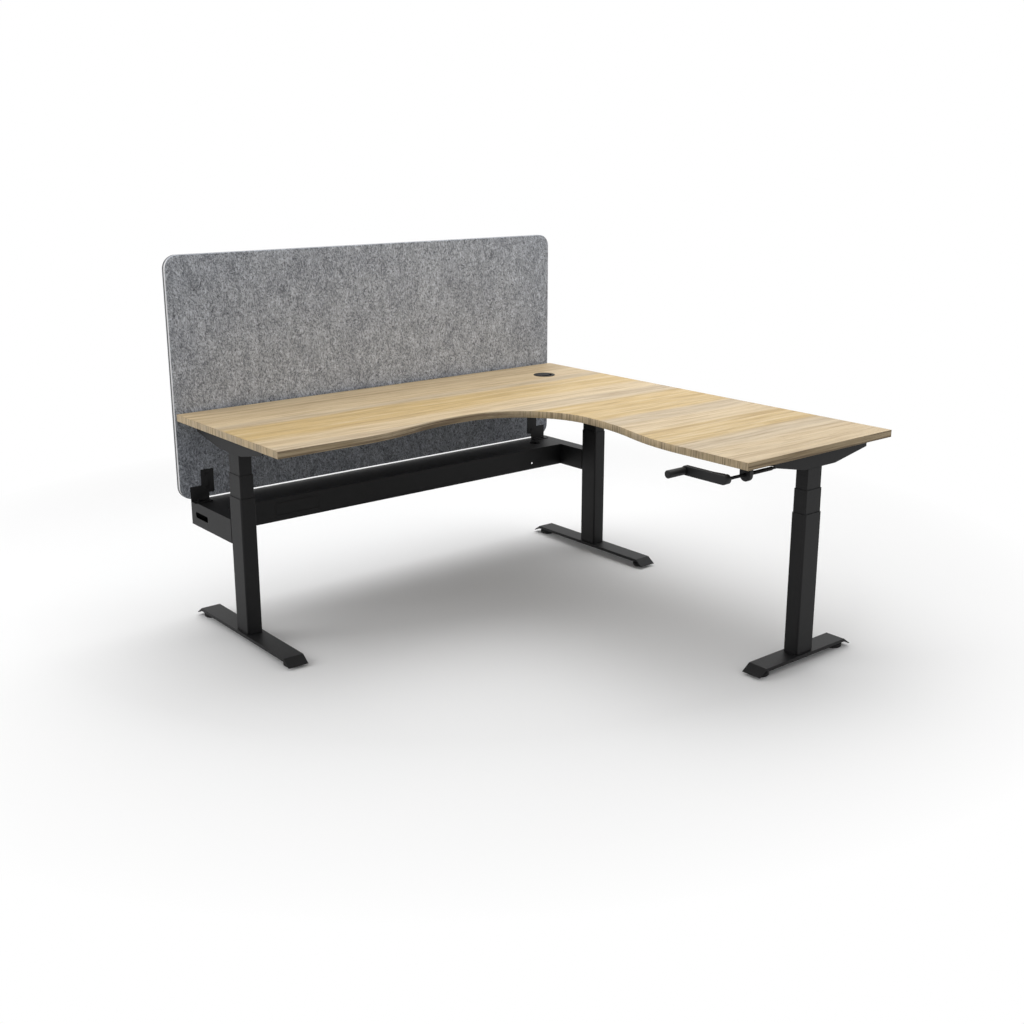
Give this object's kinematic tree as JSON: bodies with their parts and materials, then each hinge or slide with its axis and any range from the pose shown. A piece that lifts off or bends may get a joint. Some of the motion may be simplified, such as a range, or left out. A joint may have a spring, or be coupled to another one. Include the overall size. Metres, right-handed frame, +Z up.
{
  "type": "corner workstation",
  "caption": "L-shaped height-adjustable desk with a swept oak-look top, three telescopic columns, hand crank, cable beam and a grey felt screen along its back.",
  "frame": {"origin": "on the floor, under the middle of the whole desk's box", "axes": "+Z up; +Y towards the screen behind the long side; +X towards the outer edge of the return"},
  "size_m": [1.8136, 1.839, 1.364],
  "materials": {
    "powder_black": "matte black powder coat with a fine texture",
    "steel": "drawn steel, slightly oiled",
    "screw_black": "black oxide",
    "gear_housing": "black cast housing",
    "pad": "black moulded plastic",
    "board": "light oak-look board with straight grain, satin",
    "edging": "matching oak-look edge band",
    "grommet_plastic": "dark grey moulded plastic",
    "crank_plastic": "black moulded plastic, lightly grained",
    "felt_front": "marled grey pressed felt",
    "felt_back": "marled grey pressed felt"
  },
  "bodies": {
    "frame": {"foot_left": "powder_black", "foot_corner": "powder_black", "foot_return": "powder_black", "outer_tube_left": "powder_black", "outer_tube_corner": "powder_black", "outer_tube_return": "powder_black", "lower_spindle_left": "steel", "lower_spindle_corner": "steel", "lower_spindle_return": "steel", "cable_beam": "powder_black", "beam_arm_left": "powder_black", "beam_arm_corner": "powder_black", "outlet_panel": "powder_black", "screen_front": "felt_front", "screen_back": "felt_back", "screen_bracket_left": "powder_black", "screen_bracket_corner": "powder_black", "foot_bolts": "steel", "screen_screws": "screw_black"},
    "top": {"desktop": "board", "edge_band": "edging", "grommet_ring": "grommet_plastic", "wing_left": "powder_black", "wing_corner": "powder_black", "wing_return": "powder_black", "inner_tube_left": "powder_black", "inner_tube_corner": "powder_black", "inner_tube_return": "powder_black", "upper_spindle_left": "steel", "upper_spindle_corner": "steel", "upper_spindle_return": "steel", "gearbox_left": "gear_housing", "gearbox_corner": "gear_housing", "gearbox_return": "gear_housing", "long_rail_back": "powder_black", "long_rail_front": "powder_black", "return_rail_inner": "powder_black", "return_rail_outer": "powder_black", "junction_box": "gear_housing", "crank_hanger": "crank_plastic", "top_screws": "steel"},
    "cross_drive": {"cross_shaft": "steel"},
    "return_drive": {"return_shaft": "steel"},
    "crank": {"crank_rod": "steel", "crank_arm": "crank_plastic"},
    "grip": {"crank_grip": "crank_plastic"},
    "cap": {"grommet_cap": "grommet_plastic"},
    "mid_left": {"mid_tube_left": "powder_black", "mid_spindle_left": "steel"},
    "mid_corner": {"mid_tube_corner": "powder_black", "mid_spindle_corner": "steel"},
    "mid_return": {"mid_tube_return": "powder_black", "mid_spindle_return": "steel"},
    "pad_left_front": {"leveller_left_front": "pad"},
    "pad_left_back": {"leveller_left_back": "pad"},
    "pad_corner_front": {"leveller_corner_front": "pad"},
    "pad_corner_back": {"leveller_corner_back": "pad"},
    "pad_return_inner": {"leveller_return_inner": "pad"},
    "pad_return_outer": {"leveller_return_outer": "pad"}
  },
  "joints": [
    {"name": "lift", "type": "slide", "parent": "frame", "child": "top", "axis": [0, 0, 1], "range_m": [-0.128, 0.472]},
    {"name": "middle_stage_left", "type": "slide", "parent": "frame", "child": "mid_left", "axis": [0, 0, 1], "range_m": [-0.064, 0.236]},
    {"name": "middle_stage_corner", "type": "slide", "parent": "frame", "child": "mid_corner", "axis": [0, 0, 1], "range_m": [-0.064, 0.236]},
    {"name": "middle_stage_return", "type": "slide", "parent": "frame", "child": "mid_return", "axis": [0, 0, 1], "range_m": [-0.064, 0.236]},
    {"name": "crank_spin", "type": "hinge", "parent": "top", "child": "crank", "pos_m": [0.12325, -0.8445, 0.729], "axis": [1, 0, 0], "continuous": true},
    {"name": "grip_spin", "type": "hinge", "parent": "crank", "child": "grip", "pos_m": [0.06825, -0.6865, 0.729], "axis": [1, 0, 0], "continuous": true},
    {"name": "cross_shaft_spin", "type": "hinge", "parent": "top", "child": "cross_drive", "pos_m": [-0.00675, 0.5545, 0.729], "axis": [1, 0, 0], "continuous": true},
    {"name": "return_shaft_spin", "type": "hinge", "parent": "top", "child": "return_drive", "pos_m": [0.56625, -0.1195, 0.729], "axis": [0, 1, 0], "continuous": true},
    {"name": "grommet_cap_spin", "type": "hinge", "parent": "top", "child": "cap", "pos_m": [0.67125, 0.6595, 0.793], "axis": [0, 0, 1], "continuous": true},
    {"name": "level_left_front", "type": "slide", "parent": "frame", "child": "pad_left_front", "axis": [0, 0, -1], "range_m": [0, 0.01]},
    {"name": "level_left_back", "type": "slide", "parent": "frame", "child": "pad_left_back", "axis": [0, 0, -1], "range_m": [0, 0.01]},
    {"name": "level_corner_front", "type": "slide", "parent": "frame", "child": "pad_corner_front", "axis": [0, 0, -1], "range_m": [0, 0.01]},
    {"name": "level_corner_back", "type": "slide", "parent": "frame", "child": "pad_corner_back", "axis": [0, 0, -1], "range_m": [0, 0.01]},
    {"name": "level_return_inner", "type": "slide", "parent": "frame", "child": "pad_return_inner", "axis": [0, 0, -1], "range_m": [0, 0.01]},
    {"name": "level_return_outer", "type": "slide", "parent": "frame", "child": "pad_return_outer", "axis": [0, 0, -1], "range_m": [0, 0.01]}
  ],
  "couplings": [
    {"joint": "middle_stage_left", "follows": "lift", "ratio": 0.5},
    {"joint": "middle_stage_corner", "follows": "lift", "ratio": 0.5},
    {"joint": "middle_stage_return", "follows": "lift", "ratio": 0.5},
    {"joint": "crank_spin", "follows": "lift", "rad_per_m": 1256.6},
    {"joint": "cross_shaft_spin", "follows": "lift", "rad_per_m": 1256.6},
    {"joint": "return_shaft_spin", "follows": "lift", "rad_per_m": 1256.6}
  ]
}
